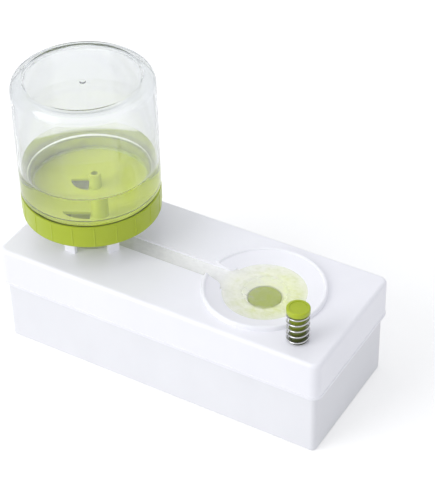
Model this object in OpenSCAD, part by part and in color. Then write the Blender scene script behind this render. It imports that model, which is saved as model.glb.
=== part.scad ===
// Brush washer: an upturned clear jar feeds clean water along a channel into a round rinsing dish.
// Pressing the sprung button rocks a lever under the cover, which lifts the drain plug of the dish,
// and the dirty water falls into the tank below. Millimetres, Z up, origin under the middle of the tank.

/* [Tank] */
// Height of the tank's rim above the table
tank_h = 65.3; // [60:0.1:85]
// Thickness of the tank's walls
tank_wall = 2.2; // [1.6:0.1:2.4]
// Thickness of the tank's floor
tank_floor = 2.4; // [1.6:0.1:4]
// Height of the standing rim under the floor
foot_h = 0.8; // [0.4:0.1:1.5]
// Width of the standing rim
foot_w = 6; // [3:0.5:12]
// Radius of the rounded lower edge of the tank
tank_edge_r = 1.2; // [0.6:0.1:2]

/* [Cover] */
// Length of the cover
cover_l = 216; // [208:0.5:260]
// Width of the cover
cover_w = 89.4; // [88:0.2:110]
// Thickness of the cover's top plate
cover_t = 2.4; // [1.8:0.1:3.4]
// Height of the cover's skirt from the top down
skirt_h = 25.5; // [18:0.5:34]
// Thickness of the skirt
skirt_wall = 2; // [1.4:0.1:2.2]
// Room between the skirt and the tank
skirt_gap = 0.35; // [0.3:0.05:0.6]
// Radius of the cover's upright corners
corner_r = 5.6; // [5:0.1:8]
// Radius of the fillet round the top edge
top_fillet = 2.5; // [1:0.1:2.9]
// How far the lip along the skirt's lower edge stands out
lip_out = 0.35; // [0.2:0.05:0.8]
// Height of that lip
lip_h = 1.6; // [1:0.1:3]

/* [Dish and drain] */
// Distance of the dish's centre from the cover's right end
dish_from_end = 58.3; // [54:0.1:61]
// Outer radius of the dish's rim
rim_r = 36.7; // [34:0.1:38]
// Height of the rim above the cover's top
rim_h = 2.7; // [1.8:0.1:4]
// Radius of the rounded bead on the rim
rim_bead_r = 1.2; // [0.8:0.1:1.6]
// Radius of the deep bowl inside the sloping shelf
bowl_r = 25; // [22:0.1:28]
// Drop of the bowl's edge below the cover's top
bowl_edge_drop = 1.7; // [1.2:0.1:2.4]
// Drop of the bowl's lowest ring, where the plug's recess starts
bowl_drop = 8.7; // [7:0.1:10]
// Drop of the plug's seat below the cover's top
seat_drop = 12.2; // [11.5:0.1:14]
// Thickness of the dish's shell
dish_wall = 2; // [1.4:0.1:2.6]
// Radius of the drain hole
drain_r = 7.5; // [6.5:0.1:8.4]
// Length of the collar under the drain hole
collar_h = 3.5; // [2.5:0.1:5]
// Wall of that collar
collar_wall = 2; // [1.4:0.1:2.6]
// Number of arms that carry the stem guide in the drain
spider_arms = 3; // [3:1:5]
// Width of a spider arm
spider_arm_w = 1.8; // [1.2:0.1:2.6]
// Outer radius of the stem guide
guide_r = 4.2; // [3.6:0.1:5]
// Length of the stem guide
guide_h = 6.2; // [5:0.1:7.5]
// How far the guide's top lies below the plug's seat
guide_sink = 0.5; // [0.3:0.1:1]

/* [Drain plug] */
// Radius of the plug's disc
plug_r = 9.75; // [9:0.05:11]
// Thickness of the plug's disc
plug_t = 2.2; // [1.6:0.1:3]
// Room round the disc in its recess
plug_gap = 0.65; // [0.4:0.05:1]
// Radius of the disc's rounded upper edge
plug_edge_r = 0.5; // [0.3:0.1:1]
// Radius of the plug's stem
plug_stem_r = 2; // [1.6:0.05:2.4]
// Running clearance of the stem in its guide
stem_clear = 0.08; // [0.03:0.01:0.1]
// Radius of the hub under the disc
plug_hub_r = 3; // [2.7:0.1:3.6]
// Thickness of the soft seal under the disc
seal_t = 1; // [0.8:0.1:1.6]
// Outer radius of that seal
seal_r = 9.2; // [8.8:0.05:9.5]

/* [Channel and jar seat] */
// Width of the channel from the jar to the dish
channel_w = 12.6; // [10:0.2:15]
// Depth of the channel and the well below the cover's top
channel_drop = 5.5; // [5:0.1:6.5]
// Radius of the flare where the channel opens into the bowl
flare_r = 4; // [3:0.5:5]
// Thickness of the walls under the channel and the well
channel_wall = 2; // [1.4:0.1:2.6]
// Radius of the well under the jar
well_r = 20; // [18:0.1:21.5]
// Depth of the water's surface below the cover's top
water_drop = 2; // [1.5:0.1:2.5]
// Number of posts that the jar stands on
post_count = 6; // [6:1:6]
// Mean radius of the ring of posts
post_ring_r = 25; // [24:0.1:28]
// Thickness of a post, measured outwards
post_t = 3; // [2.4:0.1:4]
// Angle that one post covers
post_arc = 16; // [10:1:22]
// Height of the posts
post_h = 17.6; // [14:0.1:22]

/* [Jar] */
// Distance of the jar's axis from the cover's left end
jar_from_end = 40.2; // [36:0.1:42]
// Outer radius of the jar
jar_r = 41.7; // [41:0.1:42.4]
// Height of the jar from its mouth to its base
jar_h = 88; // [70:0.5:120]
// Wall of the jar
jar_wall = 1.8; // [1.2:0.1:2.4]
// Thickness of the jar's base
jar_base_t = 3.2; // [2.6:0.1:4]
// Radius of the rounding at the base
jar_round_r = 6.6; // [5:0.1:6.8]
// Outer radius of the jar's neck
neck_r = 39.2; // [38:0.1:39.2]
// Wall of the neck
neck_wall = 2; // [1.4:0.1:2.6]
// Height of the neck from the mouth to the step
neck_h = 12.5; // [12.4:0.1:16]
// Radius of the rounded edge at the step
step_r = 1.2; // [0.6:0.1:1.4]
// Radius of the hollow in the base
hollow_r = 34.4; // [28:0.1:34.6]
// Depth of the step round that hollow
hollow_d = 1.2; // [0.6:0.1:1.6]
// Further depth of the hollow's dome in the middle
dome_d = 3; // [1:0.1:4]
// Radius of the moulding pip in the hollow
pip_r = 1.6; // [0.8:0.1:2]
// Height of that pip
pip_h = 0.6; // [0.3:0.1:1]

/* [Jar lid] */
// Outer radius of the lid
lid_r = 41.5; // [41.5:0.1:42.5]
// Height of the lid
lid_h = 14.9; // [12:0.1:14.9]
// Thickness of the lid's floor
lid_floor = 2.2; // [1.6:0.1:3]
// Room between the neck and the lid's bore
neck_gap = 0.35; // [0.3:0.05:0.5]
// Number of grip ribs round the lid
rib_count = 20; // [16:1:30]
// How far a grip rib stands out
rib_out = 0.25; // [0.2:0.05:0.6]
// Radius of a grip rib
rib_r = 0.7; // [0.6:0.1:1.4]
// Radius of the rounded lower edge of the lid
lid_edge_r = 1.5; // [0.8:0.1:2]
// Outer radius of the outlet spout under the lid
spout_r = 16; // [15:0.1:17.5]
// Wall of the spout
spout_wall = 2; // [1.4:0.1:2.6]
// Thickness of the spout's flange under the lid
flange_t = 2.4; // [1.5:0.1:4]
// Room between the flange and the posts
flange_gap = 0.35; // [0.3:0.05:0.6]
// Outer radius of the air tube
air_tube_r = 3.7; // [3.4:0.1:3.9]
// Bore radius of the air tube
air_bore_r = 2.1; // [1.8:0.1:2.5]
// Height of the air tube above the lid's floor
air_tube_h = 17.5; // [12:0.1:20]
// Distance of the air tube from the lid's centre, along the box
air_x = 2.8; // [2.6:0.1:4]
// Distance of the air tube from the lid's centre, across the box
air_y = 0.7; // [0:0.1:1.2]
// Radius of the quarter-round water opening beside the air tube
opening_r = 10.8; // [8:0.1:11]
// Distance of that opening's corner from the lid's centre, along the box
opening_x = -4.4; // [-5:0.1:-4.2]
// Distance of that opening's corner from the lid's centre, across the box
opening_y = 4.9; // [4:0.1:5]
// Direction of the opening's first straight edge
opening_turn = 211; // [205:1:215]
// Thickness of the rubber gasket in the lid
gasket_t = 1.2; // [0.8:0.1:2]
// Width of the gasket
gasket_w = 2.8; // [2:0.1:3.6]

/* [Button and spring] */
// Distance of the button from the cover's right end
button_from_end = 21.2; // [20:0.1:21.8]
// Distance of the button from the cover's front
button_from_front = 16.2; // [14.7:0.1:16.5]
// Radius of the button's cap
cap_r = 6.8; // [6.6:0.1:7.4]
// Thickness of the cap
cap_t = 3; // [2.4:0.1:4]
// Height of the cap's top above the cover
cap_top_h = 23.2; // [21.5:0.1:27]
// Radius of the cap's rounded edges
cap_edge_r = 0.7; // [0.4:0.1:1]
// Radius of the shallow dimple in the cap
dimple_r = 5; // [3.5:0.1:5.4]
// Depth of that dimple
dimple_d = 0.3; // [0.2:0.05:0.5]
// Radius of the button's stem
button_stem_r = 5.2; // [4.6:0.1:5.2]
// Running clearance of the stem in the cover
button_clear = 0.08; // [0.03:0.01:0.1]
// Travel of the button
travel = 7; // [5:0.1:7.5]
// Length of the guide for the button's stem, from the cover's top down
button_guide_h = 17.7; // [14:0.1:18]
// Wall of that guide
button_guide_wall = 2.2; // [1.6:0.1:3]
// Radius of the tip that pushes the lever
tip_r = 2.5; // [2:0.1:2.6]
// Length of that tip
tip_h = 3; // [2:0.1:3.5]
// Thickness of the retaining clip
clip_t = 1; // [0.8:0.1:1.2]
// Outer radius of the retaining clip
clip_r = 7; // [6.6:0.1:7.4]
// Room between the clip and its groove
clip_gap = 0.05; // [0.03:0.01:0.1]
// Depth of the clip's groove in the stem
groove_d = 1.4; // [0.9:0.1:1.8]
// Angle that the clip wraps round the stem
clip_wrap = 290; // [240:5:320]
// Diameter of the spring's wire
wire_d = 1; // [0.8:0.05:1]
// Mean radius of the spring
spring_r = 6.25; // [6.2:0.05:6.4]
// Turns that work, between the two end turns
active_turns = 4; // [3:0.5:5]
// Turns at each end with a short pitch
end_turns = 0.75; // [0.5:0.25:1]
// Pitch of the end turns
end_pitch = 1.6; // [1.5:0.05:2]
// Room between the wire and the faces that it presses on
spring_gap = 0.15; // [0.1:0.05:0.3]

/* [Lever] */
// Distance from the lever's pin to the button's axis
button_arm = 24; // [23:0.1:25]
// Width of the lever
lever_w = 6; // [4.5:0.1:7]
// Radius of the lever's hub
hub_r = 3.8; // [3.3:0.1:4.4]
// Radius of the rounded pads at the lever's ends
pad_r = 2.5; // [2.2:0.1:2.9]
// Half the thickness of the lever's arms
arm_half_t = 1.5; // [1.2:0.1:1.5]
// Room between each pad and what it pushes
pad_gap = 0.3; // [0.25:0.05:0.4]
// Room left between the raised lever and the stem guide
raise_room = 0.66; // [0.5:0.05:1.2]
// Radius of the lever's pin
pin_r = 1.5; // [1.2:0.05:1.8]
// Running clearance of the lever on its pin
pin_clear = 0.05; // [0.02:0.01:0.1]
// Clearance of the pin in the ears
ear_clear = 0.02; // [0.01:0.01:0.05]
// Room between the lever and each ear
ear_gap = 0.35; // [0.3:0.05:0.6]
// Thickness of an ear
ear_t = 2.6; // [2:0.1:3.4]
// Radius of the round lower end of an ear
ear_r = 4; // [3.4:0.1:4.8]
// How far the pin's head stands out of the ear
pin_head_h = 0.8; // [0.5:0.1:1.2]
// Radius of the pin's head
pin_head_r = 2.3; // [2.1:0.1:2.8]

/* [Hidden] */
$fn = 96;

// Overlap of pieces that join, and how far a cut runs past the face that it opens
eps = 0.01;
past = 1;

// Upright corner centres, shared by the tank and the cover
corner_x = cover_l / 2 - corner_r;
corner_y = cover_w / 2 - corner_r;
tank_r = corner_r - skirt_wall - skirt_gap;

// Places along and across the box, measured from its middle
dish_x = cover_l / 2 - dish_from_end;
jar_x = cover_l / 2 - jar_from_end;
button_x = cover_l / 2 - button_from_end;
button_y = cover_w / 2 - button_from_front;

// Heights above the table
top_z = tank_h + cover_t;
skirt_z = top_z - skirt_h;
water_z = top_z - water_drop;
channel_z = top_z - channel_drop;
seat_z = top_z - seat_drop;
collar_z = seat_z - dish_wall - collar_h;
lid_z = top_z + post_h;
lid_floor_z = lid_z + lid_floor;
mouth_z = lid_floor_z + gasket_t;

// The bowl is a part of a sphere through its edge and the ring round the plug's recess
recess_r = plug_r + plug_gap;
bowl_rise = bowl_drop - bowl_edge_drop;
bowl_up = (bowl_r * bowl_r - recess_r * recess_r + bowl_rise * bowl_rise) / (2 * bowl_rise);
bowl_sphere_r = sqrt(recess_r * recess_r + bowl_up * bowl_up);
bowl_centre_z = top_z - bowl_drop + bowl_up;

// The lever lies under the line from the button to the plug
reach_x = dish_x - button_x;
reach_y = button_y;
reach = sqrt(reach_x * reach_x + reach_y * reach_y);
lever_angle = atan2(reach_y, reach_x);
plug_arm = reach - button_arm;
pivot_x = button_x + button_arm * cos(lever_angle);
pivot_y = -button_y + button_arm * sin(lever_angle);
plug_lift = travel * plug_arm / button_arm;

// Heights that follow from the drain's stem guide
guide_z = seat_z - guide_sink - guide_h;
tip_z = guide_z - plug_lift - raise_room;
pivot_z = tip_z - pad_gap - pad_r;
button_guide_z = top_z - button_guide_h;
cap_top_z = top_z + cap_top_h;
cap_z = cap_top_z - cap_t;
groove_r = button_stem_r - groove_d;

// The dome of the jar's base is a part of a sphere
dome_r = hollow_r - hollow_d;
dome_sphere_r = (dome_r * dome_r + dome_d * dome_d) / (2 * dome_d);

// Steps along the arcs of the bowl and the dome, how far a cut runs up past the cover's top,
// and how far the channel's flare runs past the bowl's edge
bowl_steps = 12;
dome_steps = 12;
clear_h = 20;
flare_past = 0.8;

function ring_angle(i, count) = 360 * i / count;

// Sweeps a profile round the four sides and corners that the tank and the cover share
module round_the_box() {
    for (k = [0 : 3]) {
        along = k % 2 == 0 ? corner_y : corner_x;
        across = k % 2 == 0 ? corner_x : corner_y;
        rotate(90 * k) {
            translate([across, along, 0])
                rotate_extrude(angle = 90) children();
            translate([across, along, 0])
                rotate([90, 0, 0])
                linear_extrude(2 * along) children();
        }
    }
}

// Slab between the corner centres, from one height to another
module inner_slab(low, high) {
    translate([-corner_x, -corner_y, low])
        cube([2 * corner_x, 2 * corner_y, high - low]);
}

// Quarter-rounded bar in outline: width, height and the radius of its top outer edge
module rounded_top_outline(w, h, r) {
    square([w - r, h]);
    square([w, h - r]);
    translate([w - r, h - r]) circle(r);
}

module tank_profile() {
    difference() {
        union() {
            translate([0, tank_edge_r]) square([tank_r, tank_h - tank_edge_r]);
            square([tank_r - tank_edge_r, tank_h]);
            translate([tank_r - tank_edge_r, tank_edge_r]) circle(tank_edge_r);
        }
        translate([0, foot_h + tank_floor])
            square([tank_r - tank_wall, tank_h]);
    }
}

module waste_tank() {
    color("whitesmoke")
    difference() {
        union() {
            round_the_box() tank_profile();
            inner_slab(0, foot_h + tank_floor);
        }
        translate([foot_w - corner_x, foot_w - corner_y, -past])
            cube([2 * (corner_x - foot_w), 2 * (corner_y - foot_w), past + foot_h]);
    }
}

module cover_profile() {
    difference() {
        union() {
            translate([0, skirt_z]) rounded_top_outline(corner_r, skirt_h, top_fillet);
            translate([0, skirt_z]) square([corner_r + lip_out, lip_h]);
        }
        translate([0, skirt_z - past])
            square([corner_r - skirt_wall, skirt_h - cover_t + past]);
    }
}

// Plan of the channel from the well's centre to the bowl, with its flared mouth
module channel_plan(grow) {
    half_w = channel_w / 2;
    flare_w = half_w + flare_r;
    mouth_x = dish_x - sqrt(bowl_r * bowl_r - half_w * half_w);
    flare_end_x = dish_x - sqrt(bowl_r * bowl_r - flare_w * flare_w);
    translate([-jar_x, -half_w - grow])
        square([jar_x + dish_x, channel_w + 2 * grow]);
    difference() {
        translate([mouth_x - flare_r, -flare_w])
            square([flare_end_x - mouth_x + flare_r + flare_past, 2 * flare_w]);
        for (side = [-1, 1])
            translate([mouth_x - flare_r, side * flare_w])
                circle(flare_r - grow);
    }
}

// Point of the bowl's arc, from the plug's recess at 0 to the bowl's edge at 1
function bowl_point(share) =
    let (low = asin(recess_r / bowl_sphere_r), high = asin(bowl_r / bowl_sphere_r),
        angle = low + share * (high - low))
    [bowl_sphere_r * sin(angle), bowl_centre_z - bowl_sphere_r * cos(angle)];

// Half outline of the dish's hollow: plug recess, bowl, sloping shelf and the open room above
module dish_hollow_outline() {
    shelf_z = top_z + rim_h - rim_bead_r;
    shelf_r = rim_r - 2 * rim_bead_r;
    polygon(concat(
        [[0, seat_z], [recess_r, seat_z]],
        [for (i = [0 : bowl_steps]) bowl_point(i / bowl_steps)],
        [[shelf_r, shelf_z], [shelf_r, top_z + clear_h], [0, top_z + clear_h]]));
}

// Water's room in the cover: well, channel, sloping shelf, bowl and the plug's recess
module water_room() {
    translate([-jar_x, 0, channel_z]) cylinder(r = well_r, h = clear_h);
    translate([0, 0, channel_z]) linear_extrude(clear_h) channel_plan(0);
    translate([dish_x, 0, 0]) rotate_extrude() dish_hollow_outline();
}

// Dish body before its hollow is cut
module dish_body() {
    translate([dish_x, 0, 0]) {
        translate([0, 0, tank_h]) cylinder(r = rim_r, h = cover_t + rim_h - rim_bead_r);
        translate([0, 0, top_z + rim_h - rim_bead_r])
            rotate_extrude()
            translate([rim_r - rim_bead_r, 0]) circle(rim_bead_r);
        intersection() {
            translate([0, 0, bowl_centre_z]) sphere(bowl_sphere_r + dish_wall);
            translate([0, 0, seat_z - dish_wall])
                cylinder(r = rim_r, h = tank_h - seat_z + dish_wall + eps);
        }
        translate([0, 0, seat_z - dish_wall])
            cylinder(r = recess_r + dish_wall, h = tank_h - seat_z);
        translate([0, 0, collar_z])
            cylinder(r = drain_r + collar_wall, h = collar_h + eps);
    }
}

// Ear that carries the lever's pin, side says which one
module ear(side) {
    inner = lever_w / 2 + ear_gap;
    translate([pivot_x, pivot_y, 0])
        rotate(lever_angle)
        translate([0, side * (inner + ear_t / 2), pivot_z])
        rotate([90, 0, 0])
        linear_extrude(ear_t, center = true) {
            circle(ear_r);
            translate([-ear_r, 0]) square([2 * ear_r, top_z - pivot_z - cover_t / 2]);
        }
}

module drain_spider() {
    translate([dish_x, 0, 0]) {
        translate([0, 0, guide_z]) cylinder(r = guide_r, h = guide_h);
        for (i = [0 : spider_arms - 1])
            rotate(ring_angle(i + 0.5, spider_arms))
            translate([0, -spider_arm_w / 2, collar_z])
            cube([drain_r + collar_wall / 2, spider_arm_w, guide_z + guide_h - collar_z]);
    }
}

// Posts that the jar stands on, moulded on the cover
module jar_posts() {
    color("white")
    for (i = [0 : post_count - 1])
        translate([-jar_x, 0, top_z])
        rotate(ring_angle(i + 0.5, post_count) - post_arc / 2)
        rotate_extrude(angle = post_arc)
        translate([post_ring_r - post_t / 2, 0])
        square([post_t, post_h]);
}

module cover() {
    color("white")
    difference() {
        union() {
            difference() {
                union() {
                    round_the_box() cover_profile();
                    inner_slab(tank_h, top_z);
                    dish_body();
                    translate([-jar_x, 0, channel_z - channel_wall])
                        cylinder(r = well_r + channel_wall, h = channel_drop);
                    translate([0, 0, channel_z - channel_wall])
                        linear_extrude(channel_drop) channel_plan(channel_wall);
                    ear(-1);
                    ear(1);
                }
                water_room();
                translate([dish_x, 0, collar_z - past])
                    cylinder(r = drain_r, h = collar_h + dish_wall + 2 * past);
            }
            drain_spider();
            translate([button_x, -button_y, button_guide_z])
                cylinder(r = button_stem_r + button_guide_wall, h = button_guide_h - cover_t / 2);
        }
        translate([dish_x, 0, guide_z - past])
            cylinder(r = plug_stem_r + stem_clear, h = guide_h + 2 * past);
        translate([button_x, -button_y, button_guide_z - past])
            cylinder(r = button_stem_r + button_clear, h = button_guide_h + 2 * past);
        translate([pivot_x, pivot_y, pivot_z])
            rotate(lever_angle)
            rotate([90, 0, 0])
            cylinder(r = pin_r + ear_clear, h = lever_w + 4 * ear_t, center = true);
    }
}

module drain_plug() {
    color("yellowgreen")
    translate([dish_x, 0, 0]) {
        translate([0, 0, seat_z + seal_t])
            rotate_extrude() rounded_top_outline(plug_r, plug_t, plug_edge_r);
        translate([0, 0, seat_z]) cylinder(r = plug_hub_r, h = seal_t + eps);
        translate([0, 0, tip_z]) cylinder(r = plug_stem_r, h = seat_z - tip_z + eps);
    }
}

module plug_seal() {
    color("dimgray")
    translate([dish_x, 0, seat_z])
    difference() {
        cylinder(r = seal_r, h = seal_t);
        translate([0, 0, -past]) cylinder(r = plug_hub_r + clip_gap, h = seal_t + 2 * past);
    }
}

// Side outline of the lever, pin at the origin, plug end towards +X
module lever_outline() {
    circle(hub_r);
    translate([-button_arm, 0]) circle(pad_r);
    translate([plug_arm, 0]) circle(pad_r);
    translate([-button_arm, -arm_half_t])
        square([button_arm + plug_arm, 2 * arm_half_t]);
    polygon([[-button_arm, -arm_half_t], [0, -hub_r], [plug_arm, -arm_half_t]]);
}

module lever() {
    color("gainsboro")
    translate([pivot_x, pivot_y, pivot_z])
    rotate(lever_angle)
    rotate([90, 0, 0])
    difference() {
        linear_extrude(lever_w, center = true) lever_outline();
        cylinder(r = pin_r + pin_clear, h = lever_w + 2 * past, center = true);
    }
}

module lever_pin() {
    out = lever_w / 2 + ear_gap + ear_t;
    color("silver")
    translate([pivot_x, pivot_y, pivot_z])
    rotate(lever_angle)
    rotate([90, 0, 0]) {
        translate([0, 0, -out]) cylinder(r = pin_r, h = 2 * out);
        translate([0, 0, out]) cylinder(r = pin_head_r, h = pin_head_h);
    }
}

module button() {
    color("yellowgreen")
    translate([button_x, -button_y, 0])
    difference() {
        union() {
            translate([0, 0, cap_z])
                rotate_extrude() rounded_top_outline(cap_r, cap_t, cap_edge_r);
            translate([0, 0, tip_z + tip_h])
                cylinder(r = button_stem_r, h = cap_z - tip_z - tip_h + eps);
            translate([0, 0, tip_z]) cylinder(r = tip_r, h = tip_h + eps);
        }
        translate([0, 0, cap_top_z - dimple_d]) cylinder(r = dimple_r, h = past);
        translate([0, 0, button_guide_z - clip_t - clip_gap])
            difference() {
                cylinder(r = button_stem_r + past, h = clip_t + 2 * clip_gap);
                translate([0, 0, -past]) cylinder(r = groove_r, h = clip_t + 3 * past);
            }
    }
}

module button_clip() {
    color("silver")
    translate([button_x, -button_y, button_guide_z - clip_t])
    rotate(lever_angle + (360 - clip_wrap) / 2)
    rotate_extrude(angle = clip_wrap)
    translate([groove_r + clip_gap, 0])
    square([clip_r - groove_r - clip_gap, clip_t]);
}

// Centre line of the spring: short-pitched turns at both ends, working turns between them
spring_low = top_z + spring_gap + wire_d / 2;
spring_high = cap_z - spring_gap - wire_d / 2;
end_rise = end_turns * end_pitch;
active_pitch = (spring_high - spring_low - 2 * end_rise) / active_turns;
spring_turns = active_turns + 2 * end_turns;
curl_rings = 8;
wire_sides = 6;

function spring_z(turn) =
    turn < end_turns ? spring_low + turn * end_pitch
    : turn < end_turns + active_turns ? spring_low + end_rise + (turn - end_turns) * active_pitch
    : spring_high - (spring_turns - turn) * end_pitch;

function spring_point(turn) =
    [spring_r * cos(360 * turn), spring_r * sin(360 * turn), spring_z(turn)];

function unit(v) = v / norm(v);

spring_steps = round(spring_turns * curl_rings);
spring_path = [for (i = [0 : spring_steps]) spring_point(i / curl_rings)];

// The two ends run straight for one wire diameter
spring_line = concat(
    [spring_path[0] + wire_d * unit([0, -1, 0])],
    spring_path,
    [spring_path[spring_steps] + wire_d * unit(
        [-sin(360 * spring_turns), cos(360 * spring_turns), 0])]);

function line_direction(path, i) =
    i == 0 ? unit(path[1] - path[0])
    : i == len(path) - 1 ? unit(path[i] - path[i - 1])
    : unit(unit(path[i + 1] - path[i]) + unit(path[i] - path[i - 1]));

function wire_ring(path, i) =
    let (along = line_direction(path, i), side = unit(cross([0, 0, 1], along)), up = cross(along, side))
    [for (k = [0 : wire_sides - 1])
        path[i] + wire_d / 2 * (cos(360 * k / wire_sides) * side + sin(360 * k / wire_sides) * up)];

// Smallest distance between turns: centre line distance less one wire diameter
spring_self_gap = min([for (i = [0 : spring_steps - curl_rings + 2], j = [i + curl_rings - 2 : spring_steps])
    norm(spring_path[i] - spring_path[j])]) - wire_d;
echo(str("least gap between the spring's turns: ", spring_self_gap, " mm"));

module button_spring() {
    count = len(spring_line);
    points = [for (i = [0 : count - 1]) each wire_ring(spring_line, i)];
    sides = [for (i = [0 : count - 2], k = [0 : wire_sides - 1])
        let (a = i * wire_sides + k, b = i * wire_sides + (k + 1) % wire_sides)
        each [[a, b + wire_sides, b], [a, a + wire_sides, b + wire_sides]]];
    first = [for (k = [1 : wire_sides - 2]) [0, k, k + 1]];
    end = (count - 1) * wire_sides;
    last = [for (k = [1 : wire_sides - 2]) [end, end + k + 1, end + k]];
    color("silver")
    translate([button_x, -button_y, 0])
    polyhedron(points = points, faces = concat(sides, first, last));
}

// Quarter-round water opening in the lid's floor, with one straight edge along the air tube
module water_opening() {
    translate([opening_x, opening_y, lid_z - past])
        rotate(opening_turn)
        linear_extrude(lid_floor + 2 * past)
        intersection() {
            circle(opening_r);
            square(opening_r + past);
        }
}

// Lid's cup with its grip ribs, before the air tube is added
module lid_cup() {
    difference() {
        union() {
            translate([0, 0, lid_z])
                rotate_extrude() {
                    translate([0, lid_edge_r]) square([lid_r, lid_h - lid_edge_r]);
                    square([lid_r - lid_edge_r, lid_h]);
                    translate([lid_r - lid_edge_r, lid_edge_r]) circle(lid_edge_r);
                }
            for (i = [0 : rib_count - 1])
                rotate(ring_angle(i, rib_count))
                translate([lid_r + rib_out - rib_r, 0, lid_z + lid_edge_r + rib_out])
                cylinder(r = rib_r, h = lid_h - 2 * lid_edge_r);
        }
        translate([0, 0, lid_floor_z]) cylinder(r = neck_r + neck_gap, h = lid_h);
    }
}

module jar_lid() {
    mid_floor_z = lid_z + lid_floor / 2;
    color("yellowgreen")
    translate([-jar_x, 0, 0])
    difference() {
        union() {
            lid_cup();
            translate([air_x, air_y, mid_floor_z])
                cylinder(r = air_tube_r, h = lid_floor / 2 + air_tube_h);
        }
        translate([air_x, air_y, lid_z - past])
            cylinder(r = air_bore_r, h = lid_floor + air_tube_h + 2 * past);
        water_opening();
    }
}

// Spout under the lid: a tube down to the water's surface, with a flange that centres it in the posts
module lid_spout() {
    color("yellowgreen")
    translate([-jar_x, 0, 0])
    difference() {
        union() {
            translate([0, 0, water_z]) cylinder(r = spout_r, h = lid_z - water_z);
            translate([0, 0, lid_z - flange_t])
                cylinder(r = post_ring_r - post_t / 2 - flange_gap, h = flange_t);
        }
        translate([0, 0, water_z - past])
            cylinder(r = spout_r - spout_wall, h = lid_z - water_z + 2 * past);
    }
}

module lid_gasket() {
    color("dimgray")
    translate([-jar_x, 0, lid_floor_z])
    difference() {
        cylinder(r = neck_r, h = gasket_t);
        translate([0, 0, -past]) cylinder(r = neck_r - gasket_w, h = gasket_t + 2 * past);
    }
}

// Half outline of the jar, mouth down: neck and body smaller by the given walls
module jar_outline(neck_less, body_less, base_less) {
    step_z = neck_h + body_less;
    body_r = jar_r - body_less;
    round_r = jar_round_r - body_less;
    body_h = jar_h - base_less - step_z;
    square([neck_r - neck_less, step_z + past]);
    translate([0, step_z]) {
        square([body_r - step_r, body_h / 2]);
        translate([0, step_r]) square([body_r, body_h - step_r - round_r]);
        translate([body_r - step_r, step_r]) circle(step_r);
    }
    translate([0, step_z]) difference() {
        rounded_top_outline(body_r, body_h, round_r);
        square([body_r + past, body_h / 2]);
    }
}

// Half outline of the dome in the base, flat in its middle; over is what runs past its edge
module dome_outline(edge_z, over) {
    low_z = edge_z - dome_d;
    r = dome_r + over;
    line = [for (i = [1 : dome_steps])
        let (x = r * i / dome_steps)
        [x, low_z + dome_sphere_r - sqrt(dome_sphere_r * dome_sphere_r - x * x)]];
    polygon(concat([[0, line[0][1]]], line, [[r, jar_h], [0, jar_h]]));
}

// Half outline of the hollow in the base, with the pip standing in it
module hollow_outline() {
    difference() {
        union() {
            dome_outline(jar_h - hollow_d, 0);
            polygon([[dome_r - past, jar_h - hollow_d], [dome_r, jar_h - hollow_d], [hollow_r, jar_h],
                [hollow_r, jar_h + past], [dome_r - past, jar_h + past]]);
            translate([0, jar_h - eps]) square([dome_r, past + eps]);
        }
        square([pip_r, jar_h - hollow_d - dome_d + pip_h]);
    }
}

module jar() {
    color([0.86, 0.9, 0.92, 0.4])
    translate([-jar_x, 0, mouth_z])
    difference() {
        rotate_extrude()
            difference() {
                jar_outline(0, 0, 0);
                hollow_outline();
            }
        translate([0, 0, -eps])
            rotate_extrude()
            difference() {
                jar_outline(neck_wall, jar_wall, jar_base_t);
                dome_outline(jar_h - jar_base_t, eps);
            }
    }
}

waste_tank();
cover();
jar_posts();
drain_plug();
plug_seal();
lever();
lever_pin();
button();
button_clip();
button_spring();
jar_lid();
lid_spout();
lid_gasket();
jar();
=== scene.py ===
import math

import bmesh
import bpy
from mathutils import Matrix, Vector


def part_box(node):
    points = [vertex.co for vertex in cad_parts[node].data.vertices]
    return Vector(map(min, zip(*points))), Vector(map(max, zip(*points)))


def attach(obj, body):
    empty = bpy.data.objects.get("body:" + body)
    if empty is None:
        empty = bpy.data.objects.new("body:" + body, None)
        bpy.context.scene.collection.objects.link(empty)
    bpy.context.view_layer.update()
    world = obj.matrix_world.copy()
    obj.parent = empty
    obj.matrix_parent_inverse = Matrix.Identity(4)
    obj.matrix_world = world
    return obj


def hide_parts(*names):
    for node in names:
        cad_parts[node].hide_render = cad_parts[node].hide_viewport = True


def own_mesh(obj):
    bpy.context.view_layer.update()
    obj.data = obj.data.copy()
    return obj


# Brush washer: a clear jar stands mouth down on a white box, and a sprung green button empties its dish.
# The cover, tank, lid and the small working pieces are the frame's own. The jar, the spring and the
# water are modelled here, and every piece gets its finish here.
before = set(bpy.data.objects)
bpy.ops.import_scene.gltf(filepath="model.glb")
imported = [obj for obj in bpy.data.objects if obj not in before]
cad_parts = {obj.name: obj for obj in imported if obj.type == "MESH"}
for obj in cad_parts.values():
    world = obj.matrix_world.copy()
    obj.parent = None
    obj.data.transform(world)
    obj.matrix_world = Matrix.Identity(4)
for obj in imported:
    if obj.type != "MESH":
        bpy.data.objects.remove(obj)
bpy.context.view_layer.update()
mm = 0.001

# Places that the pieces made here share with the frame, in metres
cover_top = 67.7 * mm
jar_x = -67.8 * mm
dish_x = 49.7 * mm
button_x, button_y = 86.8 * mm, -28.5 * mm
lid_floor = 87.5 * mm
jar_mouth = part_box("jar")[0].z
jar_base = 176.7 * mm
spring_length = 20.2 * mm


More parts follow.
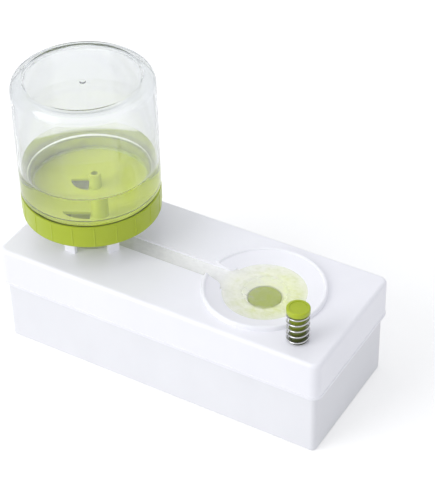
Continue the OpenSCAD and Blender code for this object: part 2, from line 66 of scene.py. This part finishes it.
class Amount:
    """A number that varies over a surface. Sums and products on it add its maths nodes."""

    def __init__(self, nodes, socket):
        self.nodes = nodes
        self.socket = socket

    def maths(self, operation, *values, clamp=False):
        """The amount that one maths node makes of these values."""
        made = self.nodes.add("ShaderNodeMath", dict(enumerate(values)),
                              operation=operation, use_clamp=clamp)
        return Amount(self.nodes, made.outputs[0])

    def __add__(self, other):
        return self.maths("ADD", self, other)

    def __sub__(self, other):
        return self.maths("SUBTRACT", self, other)

    def __rsub__(self, other):
        return self.maths("SUBTRACT", other, self)

    def __mul__(self, other):
        return self.maths("MULTIPLY", self, other)

    def __truediv__(self, other):
        return self.maths("DIVIDE", self, other)

    __radd__ = __add__
    __rmul__ = __mul__

    def unsigned(self):
        return self.maths("ABSOLUTE", self)

    def above(self, low, high):
        """0 below low, 1 above high, and a straight rise between them."""
        return self.maths("ADD", (self - low) / (high - low), 0, clamp=True)

    def below(self, low, high):
        """1 below low, 0 above high, and a straight fall between them."""
        return 1 - self.above(low, high)


def distance(x, y):
    """A point's distance from an upright axis, from its distances along X and Y."""
    squares = x * x + y * y
    return squares.maths("SQRT", squares)


class Nodes:
    """A material's or the world's nodes, and the one way that a node is added to them."""

    def __init__(self, owner):
        owner.use_nodes = True
        self.owner = owner
        self.tree = owner.node_tree
        self.tree.nodes.clear()

    def add(self, kind, values=None, **settings):
        """A new node with these settings. Its inputs take a constant, an amount or another's output."""
        made = self.tree.nodes.new(kind)
        for name, value in settings.items():
            setattr(made, name, value)
        for name, value in (values or {}).items():
            if isinstance(value, Amount):
                value = value.socket
            if isinstance(value, bpy.types.NodeSocket):
                self.tree.links.new(value, made.inputs[name])
            else:
                made.inputs[name].default_value = value
        return made

    def place(self, kind="Object"):
        return self.add("ShaderNodeTexCoord").outputs[kind]

    def coordinates(self, axis_x=0, kind="Object"):
        """A point's X counted from the axis at axis_x, its Y and its Z."""
        where = self.add("ShaderNodeSeparateXYZ", {0: self.place(kind)}).outputs
        x, y, z = (Amount(self, where[letter]) for letter in "XYZ")
        return x - axis_x, y, z

    def grain(self, size, detail, roughness, stretch=(1, 1, 1)):
        """Soft random grain from 0 to 1, whose lumps are about size metres across."""
        where = self.add("ShaderNodeMapping", {"Vector": self.place(), "Scale": stretch})
        made = self.add("ShaderNodeTexNoise", {
            "Vector": where.outputs[0], "Scale": 1 / size, "Detail": detail, "Roughness": roughness})
        return Amount(self, made.outputs[0])

    def flow(self, size=30 * mm, stretch=(1, 1, 0.6)):
        """Faint shades, 0 to 1, of the way that plastic flowed into its mould."""
        return self.grain(size, 3.0, 0.55, stretch).above(0.3, 0.7)

    def tooling(self, edge):
        """Fine grain of the mould's steel, and a Normal with it and with edges rounded off."""
        grain = self.grain(0.4 * mm, 3.0, 0.6)
        rounded_off = self.add("ShaderNodeBevel", {"Radius": edge}, samples=6).outputs[0]
        return grain, self.bump(grain, 0.004 * mm, Normal=rounded_off)

    def tint(self, share, low, high):
        """Colour that goes from low to high as share goes from 0 to 1."""
        low, high = [(*end, 1) if isinstance(end, tuple) else end for end in (low, high)]
        return self.add("ShaderNodeMix", {0: share, 6: low, 7: high}, data_type="RGBA").outputs[2]

    def bump(self, height, depth, **normal):
        return self.add("ShaderNodeBump", {
            "Height": height, "Distance": depth, "Strength": 1.0, **normal}).outputs[0]

    def principled(self, values):
        return self.add("ShaderNodeBsdfPrincipled", values).outputs[0]

    def see_through(self, colour):
        return self.add("ShaderNodeBsdfTransparent", {"Color": (*colour, 1)}).outputs[0]

    def mixed(self, share, first, second):
        """Shader that goes from the first to the second as share goes from 0 to 1."""
        return self.add("ShaderNodeMixShader", {0: share, 1: first, 2: second}).outputs[0]

    def lamps_pass(self, shader, colour):
        """Lets the lamps' light through a clear piece, so that it casts only a faint shadow."""
        path = self.add("ShaderNodeLightPath").outputs
        return self.mixed(path["Is Shadow Ray"], shader, self.see_through(colour))

    def rays(self):
        """The kinds of ray, and 1 for what is seen in a glossy surface or through a clear one."""
        path = self.add("ShaderNodeLightPath").outputs
        mirrored = Amount(self, path["Is Glossy Ray"]) + Amount(self, path["Is Transmission Ray"])
        return path, mirrored.above(0, 1)

    def surface(self, shader, **volume):
        """Gives the material its shader, and returns the material."""
        self.add("ShaderNodeOutputMaterial", {"Surface": shader, **volume})
        return self.owner


def moulded(name, low, high, roughness, **constants):
    """Injection-moulded plastic: faint flow shades, a fine tooled texture and softened edges."""
    nodes = Nodes(bpy.data.materials.new(name))
    wipe = nodes.grain(9 * mm, 4.0, 0.65, (0.5, 1.4, 1))
    tooling, normal = nodes.tooling(0.3 * mm)
    return nodes.surface(nodes.principled({
        "Base Color": nodes.tint(nodes.flow(), low, high),
        "Roughness": roughness - 0.03 + 0.05 * wipe + 0.03 * tooling,
        "Normal": normal,
        **constants,
    }))


# Fades between the lid's painted light and painted shade, out from its axis or upwards: where each starts
# and where it ends
cup_wall, cup_floor = (39.9 * mm, 40.3 * mm), (86.8 * mm, 87.3 * mm)
bore_wall, bore_top = (14.1 * mm, 14.6 * mm), (86.9 * mm, 87.3 * mm)
brim_foot, brim_inner, brim_outer = (99.7 * mm, 100.0 * mm), (38 * mm, 39 * mm), (40.3 * mm, 41.0 * mm)
underside_low, underside_high = (85.0 * mm, 85.2 * mm), (85.35 * mm, 85.6 * mm)


def lid_plastic(name, low, high, lit_low, lit_high, brim_shade, underside_shade, roughness):
    """The jar lid's plastic, with light and shade painted into it: painted light makes its cup and its
    bore lighter, painted shade darkens the groove at its brim and its underside, and the bore has a
    painted glow."""
    nodes = Nodes(bpy.data.materials.new(name))
    x, y, z = nodes.coordinates(jar_x)
    out = distance(x, y)
    # Masks of painted light (bore, inside), of painted shade (brim, underside) and of the bore's painted
    # glow
    bore = out.below(*bore_wall) * z.below(*bore_top)
    inside = (out.below(*cup_wall) * z.above(*cup_floor) + bore).above(0, 1)
    brim = z.above(*brim_foot) * out.above(*brim_inner) * out.below(*brim_outer)
    underside = z.above(*underside_low) * z.below(*underside_high)
    flow = nodes.flow()
    colour = nodes.tint(inside, nodes.tint(flow, low, high), nodes.tint(flow, lit_low, lit_high))
    colour = nodes.tint(brim, colour, brim_shade)
    tooling, normal = nodes.tooling(0.4 * mm)
    return nodes.surface(nodes.principled({
        "Base Color": nodes.tint(underside, colour, underside_shade),
        "Roughness": roughness - 0.02 + 0.04 * tooling,
        # The bore's painted glow
        "Emission Color": nodes.tint(bore, (0, 0, 0), (0.30, 0.36, 0.02)),
        "Emission Strength": 0.14,
        "Normal": normal,
    }))


def button_plastic(name, low, high, shaded, roughness):
    """The button's plastic, with painted shade down its stem, where the spring and the guide would shade
    it.
    """
    nodes = Nodes(bpy.data.materials.new(name))
    z = nodes.coordinates()[2]
    # Share of painted shade: full at the stem's foot, about half higher up the stem, none at the top
    down = 1 - 0.45 * z.above(72 * mm, 84 * mm) - 0.55 * z.above(87.3 * mm, 88.2 * mm)
    tooling, normal = nodes.tooling(0.3 * mm)
    return nodes.surface(nodes.principled({
        "Base Color": nodes.tint(down, nodes.tint(nodes.flow(20 * mm, (1, 1, 1)), low, high), shaded),
        "Roughness": roughness + 0.04 * tooling,
        "Normal": normal,
    }))


def steel(name, low, high, roughness, size, stretch):
    """Metal with fine drawn or brushed lines."""
    nodes = Nodes(bpy.data.materials.new(name))
    lines = nodes.grain(size, 3.0, 0.6, stretch)
    return nodes.surface(nodes.principled({
        "Base Color": nodes.tint(lines, low, high),
        "Metallic": 1.0,
        "Roughness": roughness + 0.08 * lines,
        "Normal": nodes.bump(lines, 0.003 * mm),
    }))


def clear(name, low, high, roughness, index, wave, wave_depth, shade, milk=0.0, murk=0.0, straight=0.0):
    """Clear plastic or water: tinted in clouds, with slow waves in its surface. Milk clouds water, murk
    greys the plastic where it is thick, and straight is the share that passes without being bent."""
    nodes = Nodes(bpy.data.materials.new(name))
    waves = nodes.grain(wave, 2.0, 0.5)
    clouds = nodes.grain(30 * mm, 3.0, 0.55)
    smears = nodes.grain(12 * mm, 3.0, 0.6)
    body = nodes.principled({
        "Base Color": nodes.tint(clouds.above(0.35, 0.65), low, high),
        "Roughness": roughness * smears,
        "Transmission Weight": 1.0 - milk,
        "IOR": index,
        "Normal": nodes.bump(waves, wave_depth),
    })
    grey = (shade, shade, shade)
    if straight:
        body = nodes.mixed(straight, body, nodes.see_through(grey))
    volume = {}
    if murk:
        soak = nodes.add("ShaderNodeVolumeAbsorption", {"Color": (0.80, 0.84, 0.86, 1), "Density": murk})
        volume["Volume"] = soak.outputs[0]
    return nodes.surface(nodes.lamps_pass(body, grey), **volume)


def rinsing_water(name):
    """Water of the dish: tinted and cloudy in the bowl, nearly clean in the channel, clearer over the
    plug and milkier where the channel comes in."""
    nodes = Nodes(bpy.data.materials.new(name))
    x, y, _ = nodes.coordinates(dish_x)
    out = distance(x, y)
    pool = out.below(19 * mm, 29 * mm)
    plug = out.below(12.5 * mm, 16 * mm)
    mouth = (x + 22 * mm).unsigned().below(2 * mm, 11 * mm) * y.unsigned().below(4 * mm, 10 * mm)
    streaks = nodes.grain(4 * mm, 5.0, 0.66, (0.8, 1.2, 1)).above(0.32, 0.68)
    fresh = (0.7 * streaks + 0.7 * x.below(-20 * mm, 12 * mm)).above(0, 1)
    ripples = nodes.bump(nodes.grain(9 * mm, 2.0, 0.5, (0.8, 1.3, 1)), 0.02 * mm)
    water = nodes.principled({
        "Base Color": nodes.tint(pool, (0.97, 0.98, 0.955),
                                 nodes.tint(fresh, (0.80, 0.88, 0.34), (0.97, 0.985, 0.86))),
        "Roughness": 0.01 + 0.03 * streaks,
        "Transmission Weight": 1.0,
        "IOR": water_index,
        "Normal": ripples,
    })
    milk = nodes.principled({
        "Base Color": nodes.tint(pool, (0.985, 0.99, 0.955),
                                 nodes.tint(fresh, (0.80, 0.87, 0.36), (0.98, 0.99, 0.86))),
        "Roughness": 0.10 + 0.05 * streaks,
        "Normal": ripples,
    })
    share = 0.60 - 0.16 * pool - 0.24 * plug + 0.22 * mouth + 0.08 * streaks
    return nodes.surface(nodes.lamps_pass(nodes.mixed(share, water, milk), (0.97, 0.97, 0.96)))


# Finishes, one for each slot of the record, and the two waters
plastic_index, water_index = 1.50, 1.333
white_tank = moulded("white_tank_plastic", (0.87, 0.875, 0.90), (0.90, 0.905, 0.93), 0.36)
# The white cover's plastic, also on the jar posts, glows a little: painted light that lifts their shadows
white_cover = moulded("white_cover_plastic", (0.82, 0.82, 0.85), (0.85, 0.85, 0.88), 0.33,
                      **{"Emission Color": (0.88, 0.90, 1.0, 1), "Emission Strength": 0.12})
olive = moulded("olive_plug_plastic", (0.27, 0.33, 0.020), (0.32, 0.38, 0.035), 0.45)
pale = moulded("pale_lever_plastic", (0.62, 0.63, 0.65), (0.68, 0.69, 0.71), 0.5)
silicone = moulded("silicone_rubber", (0.60, 0.70, 0.12), (0.64, 0.74, 0.16), 0.6)
# The lid's colours: lit_low and lit_high are painted light, brim_shade and underside_shade are painted
# shade
lid_lime = lid_plastic("lime_lid_plastic", (0.385, 0.485, 0.012), (0.445, 0.545, 0.018),
                       lit_low=(0.66, 0.76, 0.050), lit_high=(0.72, 0.81, 0.070),
                       brim_shade=(0.07, 0.09, 0.005), underside_shade=(0.36, 0.38, 0.26),
                       roughness=0.32)
# shaded is the colour of the painted shade on the button's stem
button_lime = button_plastic("lime_button_plastic", (0.40, 0.50, 0.010), (0.46, 0.56, 0.016),
                             shaded=(0.05, 0.065, 0.004), roughness=0.26)
bright_wire = steel("bright_spring_wire", (0.40, 0.40, 0.42), (0.80, 0.80, 0.82),
                    roughness=0.06, size=0.6 * mm, stretch=(1, 1, 3))
brushed_pin = steel("brushed_pin_steel", (0.55, 0.55, 0.57), (0.70, 0.70, 0.72),
                    roughness=0.25, size=0.5 * mm, stretch=(1, 8, 8))
jar_plastic = clear("clear_jar_plastic", (0.975, 0.98, 0.985), (0.985, 0.988, 0.99), roughness=0.02,
                    index=plastic_index, wave=30 * mm, wave_depth=0.04 * mm, shade=0.99,
                    murk=104.0, straight=0.08)
jar_water_finish = clear("jar_water", (0.975, 0.985, 0.92), (0.985, 0.993, 0.95), roughness=0.0,
                         index=water_index, wave=50 * mm, wave_depth=0.03 * mm, shade=0.995,
                         milk=0.05)
dish_water_finish = rinsing_water("dish_water")
for node, finish in {
    "waste_tank": white_tank, "cover": white_cover, "jar_posts": white_cover, "drain_plug": olive,
    "plug_seal": silicone, "lever": pale, "lever_pin": brushed_pin, "button": button_lime,
    "button_clip": brushed_pin, "jar_lid": lid_lime, "lid_spout": lid_lime, "lid_gasket": silicone,
}.items():
    for material_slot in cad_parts[node].material_slots:
        material_slot.material = finish

# How close two points of a mesh are before they are one
weld = 0.002 * mm


def new_piece(name):
    """The object that was just added, with its name."""
    piece = bpy.context.object
    piece.name = piece.data.name = name
    return piece


def sheet_piece(name, size):
    """A flat square in the middle of the floor."""
    bpy.ops.object.select_all(action="DESELECT")
    bpy.ops.mesh.primitive_plane_add(size=size)
    return new_piece(name)


def start_mesh(name):
    """A new object with one point at the origin, in edit mode, for building a line."""
    piece = sheet_piece(name, 1)
    bpy.ops.object.mode_set(mode="EDIT")
    bpy.ops.mesh.select_all(action="SELECT")
    bpy.ops.mesh.merge(type="CENTER")
    return piece


def draw_line(points):
    """Moves the one point to the first place and extrudes it to each of the others."""
    bpy.ops.transform.translate(value=points[0])
    for a, b in zip(points, points[1:]):
        bpy.ops.mesh.extrude_vertices_move(
            TRANSFORM_OT_translate={"value": [q - p for p, q in zip(a, b)]})


def rounded(corners, steps=6):
    """Outline through corners (radius from the axis, height, rounding), with arcs at the rounded ones."""
    outline = []
    for i, (r, z, rounding) in enumerate(corners):
        here = Vector((r, z))
        if not rounding or i in (0, len(corners) - 1):
            outline.append((r, z))
            continue
        before = (Vector(corners[i - 1][:2]) - here).normalized()
        after = (Vector(corners[i + 1][:2]) - here).normalized()
        half = before.angle(after) / 2
        middle = here + (before + after).normalized() * rounding / math.sin(half)
        start = here + before * rounding / math.tan(half) - middle
        end = here + after * rounding / math.tan(half) - middle
        turn = start.angle_signed(end)
        for k in range(steps + 1):
            point = middle + Matrix.Rotation(-turn * k / steps, 2) @ start
            outline.append((point.x, point.y))
    return outline


def turned(name, outline, axis_x, steps):
    """A closed body turned round the upright axis at axis_x from its half outline, which starts and
    ends on that axis."""
    piece = start_mesh(name)
    draw_line([(axis_x + r, 0, z) for r, z in outline])
    bpy.ops.mesh.select_all(action="SELECT")
    bpy.ops.mesh.spin(steps=steps, angle=2 * math.pi, center=(axis_x, 0, 0), axis=(0, 0, 1))
    bpy.ops.mesh.select_all(action="SELECT")
    bpy.ops.mesh.remove_doubles(threshold=weld)
    bpy.ops.mesh.normals_make_consistent(inside=False)
    if bmesh.from_edit_mesh(piece.data).calc_volume(signed=True) < 0:
        bpy.ops.mesh.flip_normals()
    bpy.ops.object.mode_set(mode="OBJECT")
    return settle(piece)


def pick(piece):
    """Makes the piece the only one selected, and the active one."""
    bpy.ops.object.select_all(action="DESELECT")
    piece.select_set(True)
    bpy.context.view_layer.objects.active = piece


def settle(piece, smooth_up_to=35):
    """Puts the piece's place into its mesh, and shades its curves smooth up to this many degrees."""
    pick(piece)
    bpy.ops.object.transform_apply(location=True, rotation=True, scale=True)
    bpy.ops.object.shade_smooth_by_angle(angle=math.radians(smooth_up_to))
    return piece


def give(piece, finish, body, replaces=()):
    """Gives the piece its finish and the body it rides on, and hides the frame's pieces that it replaces.
    """
    piece.data.materials.clear()
    piece.data.materials.append(finish)
    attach(piece, body)
    if replaces:
        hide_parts(*replaces)


# Jar: blown wall with a step at the neck, a wide rounding at the base, and a domed hollow with its pip
def jar_side(neck, body, step, top, rounding):
    """Half outline of one face of the jar's wall, from the mouth to the base's rounding."""
    return [(neck, jar_mouth, 0), (neck, step, 0.8 * mm), (body, step + 1.2 * mm, 1.0 * mm),
            (body, top, rounding)]


def dome(edge, height, depth, rounding, steps=20):
    """Half outline of a shallow dome from its edge, at this height, nearly to its middle."""
    sphere = (edge * edge + depth * depth) / (2 * depth)
    radii = [edge * (1 - k / steps) for k in range(steps)]
    return [(r, height - depth + sphere - math.sqrt(sphere ** 2 - r ** 2), 0 if r < edge else rounding)
            for r in radii]


ring_depth, dome_depth = 1.2 * mm, 3.0 * mm
inner_base = 173.5 * mm
pip = [(1.9 * mm, jar_base - 4.19 * mm, 0.2 * mm), (1.5 * mm, jar_base - 3.6 * mm, 0.25 * mm),
       (0, jar_base - 3.55 * mm, 0)]
outside = rounded(
    jar_side(39.2 * mm, 41.7 * mm, 101.2 * mm, jar_base, 6.6 * mm)
    + [(34.6 * mm, jar_base, 0.5 * mm)]
    + dome(33.3 * mm, jar_base - ring_depth, dome_depth, 0.6 * mm)[:-1] + pip)
inside = rounded(
    jar_side(37.2 * mm, 39.9 * mm, 103.0 * mm, inner_base, 4.8 * mm)
    + dome(33.2 * mm, inner_base, dome_depth, 2.0 * mm) + [(0, inner_base - dome_depth, 0)])
jar = turned("jar_shell", inside[::-1] + outside, jar_x, 160)
give(jar, jar_plastic, "jar", ("jar",))

# Water in the jar: it fills the spout, the lid and the neck, and climbs the wall a little. It reaches
# 0.05 mm into the gasket and the jar, and ends 0.05 mm short of the spout's wall.
spout_r, lid_r, neck_r, wall_r = 13.95 * mm, 36.45 * mm, 37.25 * mm, 39.95 * mm
spout_end = 66.2 * mm
water_level = 116.4 * mm
climb, reach = 3.6 * mm, 2.4 * mm
edge_steps, edge_width = 12, 12 * mm
radii = [wall_r - edge_width * (k / edge_steps) ** 1.6 for k in range(edge_steps)]
radii += [r * mm for r in (24, 18, 12, 6, 0)]
jar_water = turned("jar_water", [
    (0, spout_end), (spout_r, spout_end), (spout_r, lid_floor - 0.1 * mm),
    (lid_r, lid_floor - 0.1 * mm), (lid_r, jar_mouth), (neck_r, jar_mouth + 0.1 * mm),
    (neck_r, 103.0 * mm), (wall_r, 104.2 * mm),
] + [(r, water_level + climb * math.exp(-(wall_r - r) / reach)) for r in radii], jar_x, 160)
give(jar_water, jar_water_finish, "jar_lid")

# Water in the well, the channel and the dish, in one piece up to its level. It reaches a fraction of a
# millimetre into the cover, so that no gap shows. The bowl is a part of a ball.
level = 65.95 * mm
well_floor, flare_floor, well_r = 62.0 * mm, 62.1 * mm, 20.2 * mm
ball_z, ball_r = 99.417 * mm, (41.73 + 0.3) * mm
bowl_edge = 25.1 * mm
bowl_radii = [r * mm for r in (13, 15, 17, 19, 21, 23, 24.4)] + [bowl_edge]
plug_recess = [(0, 57.2 * mm), (10.6 * mm, 57.2 * mm), (10.7 * mm, 58.9 * mm)]
bowl = turned("dish_water", plug_recess
              + [(r, ball_z - math.sqrt(ball_r ** 2 - r ** 2)) for r in bowl_radii]
              + [(bowl_edge, level), (0, level)], dish_x, 128)
well = turned("well_water", [
    (0, well_floor), (well_r, well_floor), (well_r, level), (0, level)], jar_x, 128)


def block(name, left, right, width, floor_z):
    """Water with upright sides across the middle plane, from left to right and up to its level."""
    bpy.ops.object.select_all(action="DESELECT")
    bpy.ops.mesh.primitive_cube_add(size=1)
    piece = new_piece(name)
    piece.scale = (right - left, width, level - floor_z)
    piece.location = ((right + left) / 2, 0, (level + floor_z) / 2)
    return settle(piece)


channel = block("channel_water", jar_x, dish_x - 20 * mm, 13.0 * mm, well_floor)
flare = block("flare_water", dish_x - 28.1 * mm, dish_x - 21.1 * mm, 20.2 * mm, flare_floor)
for other in (well, channel, flare):
    join = bowl.modifiers.new("join", "BOOLEAN")
    join.operation, join.solver, join.object = "UNION", "EXACT", other
    pick(bowl)
    bpy.ops.object.modifier_apply(modifier=join.name)
    bpy.data.objects.remove(other)
settle(bowl)
give(bowl, dish_water_finish, "cover")

# Spring: one round wire, closer wound at both ends
wire_r, coil_r, end_gap = 0.5 * mm, 6.25 * mm, 0.65 * mm
low, high = cover_top + end_gap, cover_top + spring_length - end_gap
end_turns, work_turns, end_pitch = 0.75, 4.0, 1.6 * mm
work_pitch = (high - low - 2 * end_turns * end_pitch) / work_turns
all_turns = work_turns + 2 * end_turns
per_turn = 48


def wire_point(turn):
    """Where the wire's middle is after this many turns from its lower end."""
    if turn < end_turns:
        z = low + turn * end_pitch
    elif turn > all_turns - end_turns:
        z = high - (all_turns - turn) * end_pitch
    else:
        z = low + end_turns * end_pitch + (turn - end_turns) * work_pitch
    angle = 2 * math.pi * turn
    return button_x + coil_r * math.cos(angle), button_y + coil_r * math.sin(angle), z


spring = start_mesh("coil_spring")
draw_line([wire_point(k / per_turn) for k in range(round(all_turns * per_turn) + 1)])
bpy.ops.object.mode_set(mode="OBJECT")
bpy.ops.object.convert(target="CURVE")
spring.data.bevel_depth = wire_r
spring.data.bevel_resolution = 4
spring.data.use_fill_caps = True
bpy.ops.object.convert(target="MESH")
bpy.ops.object.mode_set(mode="EDIT")
bpy.ops.mesh.select_all(action="SELECT")
bpy.ops.mesh.remove_doubles(threshold=weld)
bpy.ops.object.mode_set(mode="OBJECT")
settle(spring, 50)
give(spring, bright_wire, "cover", ("button_spring",))
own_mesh(spring)

# Floor: a plain white sheet that keeps the washer's shadow. Where it is seen it glows, and more so far
# out. In what the shiny and clear pieces show of it, it turns dull far out.
floor = sheet_piece("floor", 8)
nodes = Nodes(bpy.data.materials.new("white_floor"))
path, mirrored = nodes.rays()
x, y, _ = nodes.coordinates()
away = distance(x, y)
white = nodes.add("ShaderNodeBsdfDiffuse", {"Color": (0.8, 0.8, 0.8, 1)}).outputs[0]
glow = nodes.add("ShaderNodeEmission", {"Color": nodes.tint(
    away.above(0.2, 1.0), (0.37, 0.37, 0.36), (0.7, 0.7, 0.7))}).outputs[0]
dull = nodes.add("ShaderNodeEmission", {"Color": (0.60, 0.61, 0.63, 1)}).outputs[0]
bright = nodes.add("ShaderNodeAddShader", {0: white, 1: glow}).outputs[0]
shown = nodes.mixed(mirrored * away.above(0.35, 0.9), bright, dull)
seen = (mirrored + Amount(nodes, path["Is Camera Ray"])).above(0, 1)
floor.data.materials.append(nodes.surface(nodes.mixed(seen, white, shown)))

# World: the camera sees a white backdrop. Shiny and clear pieces show a soft studio, bright overhead and
# behind and darker at its sides. All else is lit evenly.
world = bpy.data.worlds.new("studio")
bpy.context.scene.world = world
nodes = Nodes(world)
path, mirrored = nodes.rays()
x, y, z = nodes.coordinates(kind="Generated")
overhead = z.above(0.15, 0.7)
behind = (-0.52 * x + 0.855 * y).above(0.0, 0.7)
walls = 0.62 + 0.38 * overhead.maths("MAXIMUM", overhead, behind)
room, studio, backdrop = [
    nodes.add("ShaderNodeBackground", {"Color": (*colour, 1), "Strength": strength}).outputs[0]
    for colour, strength in (((0.94, 0.95, 1.0), 0.68), ((1, 1, 1), walls), ((1, 1, 1), 1.0))]
lit = nodes.mixed(mirrored, room, studio)
nodes.add("ShaderNodeOutputWorld", {"Surface": nodes.mixed(path["Is Camera Ray"], lit, backdrop)})


def soft_box(name, place, size, power):
    """A square lamp turned towards the washer."""
    light = bpy.data.lights.new(name, "AREA")
    light.shape, light.size, light.energy = "SQUARE", size, power
    made = bpy.data.objects.new(name, light)
    made.location = place
    made.rotation_euler = (Vector((0, 0, 0.05)) - Vector(place)).to_track_quat("-Z", "Y").to_euler()
    bpy.context.scene.collection.objects.link(made)


soft_box("key_box", (-0.80, -1.35, 0.95), 1.1, 12.5)
soft_box("top_box", (-0.6, -0.3, 1.6), 1.6, 4)

# Camera at the photograph's angle: angles in radians, and the point it turns round
turn, rise, roll = 0.546, 0.672, -0.024
middle, stand_off = Vector((-5.065, 39.053, 50)) * mm, 1032.46 * mm
back = Vector((math.sin(turn) * math.cos(rise), -math.cos(turn) * math.cos(rise), math.sin(rise)))
right = Vector((math.cos(turn), math.sin(turn), 0))
up = back.cross(right)
across = right * math.cos(roll) + up * math.sin(roll)
upwards = up * math.cos(roll) - right * math.sin(roll)
place = middle + back * stand_off
view = bpy.data.cameras.new("camera")
view.lens, view.sensor_width = 123.02, 36
view.clip_start, view.clip_end = 0.05, 20
camera = bpy.data.objects.new("camera", view)
camera.matrix_world = Matrix((
    (across.x, upwards.x, back.x, place.x),
    (across.y, upwards.y, back.y, place.y),
    (across.z, upwards.z, back.z, place.z),
    (0, 0, 0, 1)))
bpy.context.scene.collection.objects.link(camera)
bpy.context.scene.camera = camera
bpy.context.scene.view_settings.view_transform = "Standard"
